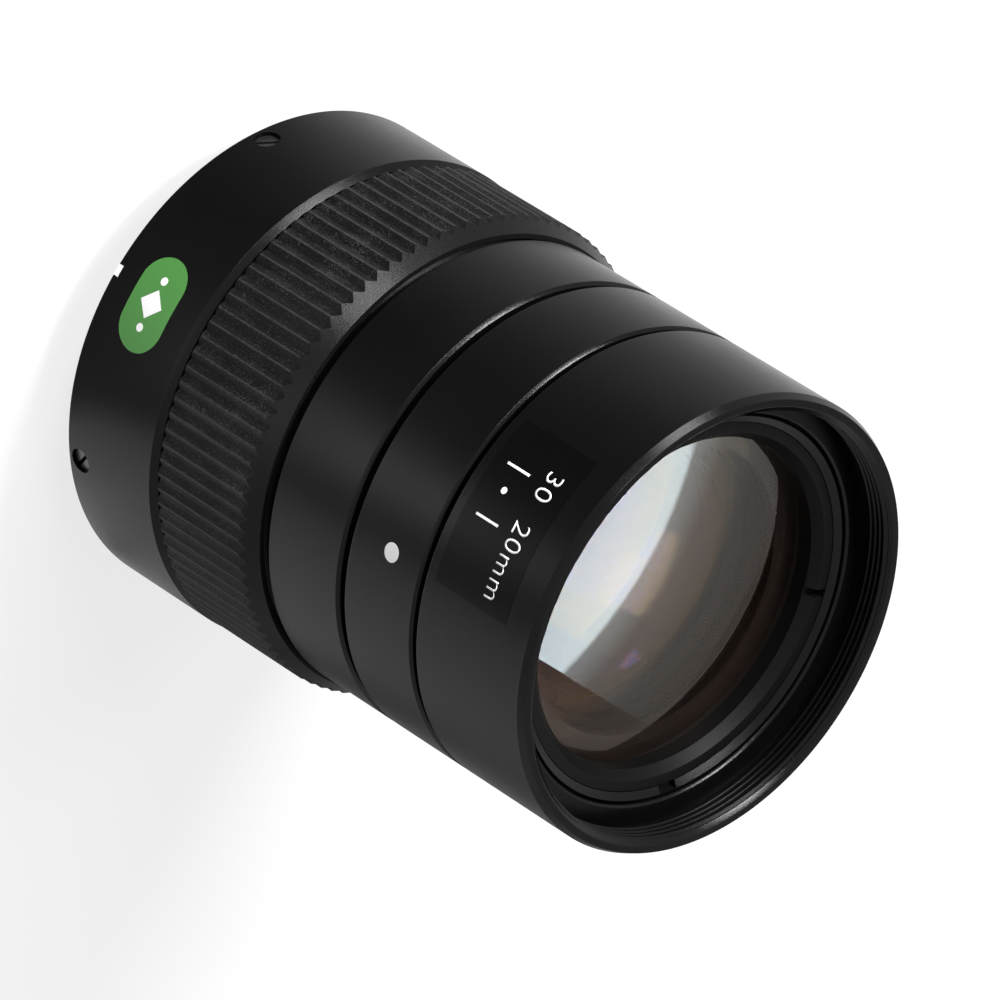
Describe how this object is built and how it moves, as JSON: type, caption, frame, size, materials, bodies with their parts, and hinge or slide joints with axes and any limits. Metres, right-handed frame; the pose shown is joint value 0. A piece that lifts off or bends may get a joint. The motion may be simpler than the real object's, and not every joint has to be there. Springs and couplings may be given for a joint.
{
  "type": "machine vision lens",
  "caption": "Black C-mount zoom lens with a ribbed rubber focus ring, a zoom ring with a scale and filter thread, and a wide front glass.",
  "frame": {"origin": "centre of the mount's flange face, on the optical axis", "axes": "+Z along the optical axis towards the front glass; -Y is the side that faces the camera in the picture"},
  "size_m": [0.059, 0.059, 0.0809],
  "materials": {
    "black_anodised": "bead-blasted, black anodised",
    "grip_rubber": "matt moulded rubber",
    "coated_front_glass": "polished, anti-reflection coated",
    "optical_glass": "polished",
    "blackened_steel": "black oxide",
    "hardened_steel": "ground",
    "spring_steel_sheet": "blackened sheet"
  },
  "bodies": {
    "barrel": {"rear_barrel": "black_anodised", "c_mount_ring": "black_anodised", "mount_set_screws": "blackened_steel", "rear_element": "optical_glass", "rear_retaining_ring": "black_anodised", "main_tube": "black_anodised", "mid_sleeve": "black_anodised", "index_ring": "black_anodised", "aperture_stop": "spring_steel_sheet", "stop_retaining_ring": "black_anodised", "front_cell": "black_anodised", "front_element": "coated_front_glass", "front_spacer": "black_anodised", "second_element": "optical_glass", "front_retaining_ring": "black_anodised"},
    "zoom_ring": {"zoom_ring": "black_anodised", "cam_tube": "black_anodised", "zoom_guide_screws": "hardened_steel"},
    "zoom_group": {"zoom_cell": "black_anodised", "zoom_cam_pins": "hardened_steel", "zoom_flint": "optical_glass", "zoom_crown": "optical_glass", "zoom_retaining_ring": "black_anodised"},
    "focus_ring": {"focus_core": "black_anodised", "focus_grip": "grip_rubber"},
    "focus_group": {"focus_cell": "black_anodised", "focus_pins": "hardened_steel", "focus_rear_element": "optical_glass", "focus_spacer": "black_anodised", "focus_front_element": "optical_glass", "focus_retaining_ring": "black_anodised"}
  },
  "joints": [
    {"name": "focus_turn", "type": "hinge", "parent": "barrel", "child": "focus_ring", "pos_m": [0, 0, 0.02637], "axis": [0, 0, 1], "range_deg": [-30, 60]},
    {"name": "focus_slide", "type": "slide", "parent": "barrel", "child": "focus_group", "axis": [0, 0, 1], "range_m": [-0.0024, 0.0012]},
    {"name": "zoom_turn", "type": "hinge", "parent": "barrel", "child": "zoom_ring", "pos_m": [0, 0, 0.05643], "axis": [0, 0, 1], "range_deg": [0, 31.8]},
    {"name": "zoom_slide", "type": "slide", "parent": "barrel", "child": "zoom_group", "axis": [0, 0, 1], "range_m": [-0.0046, 0]}
  ],
  "couplings": [
    {"joint": "focus_slide", "follows": "focus_turn", "m_per_rad": -0.0022918},
    {"joint": "zoom_slide", "follows": "zoom_turn", "m_per_rad": -0.0082881}
  ]
}
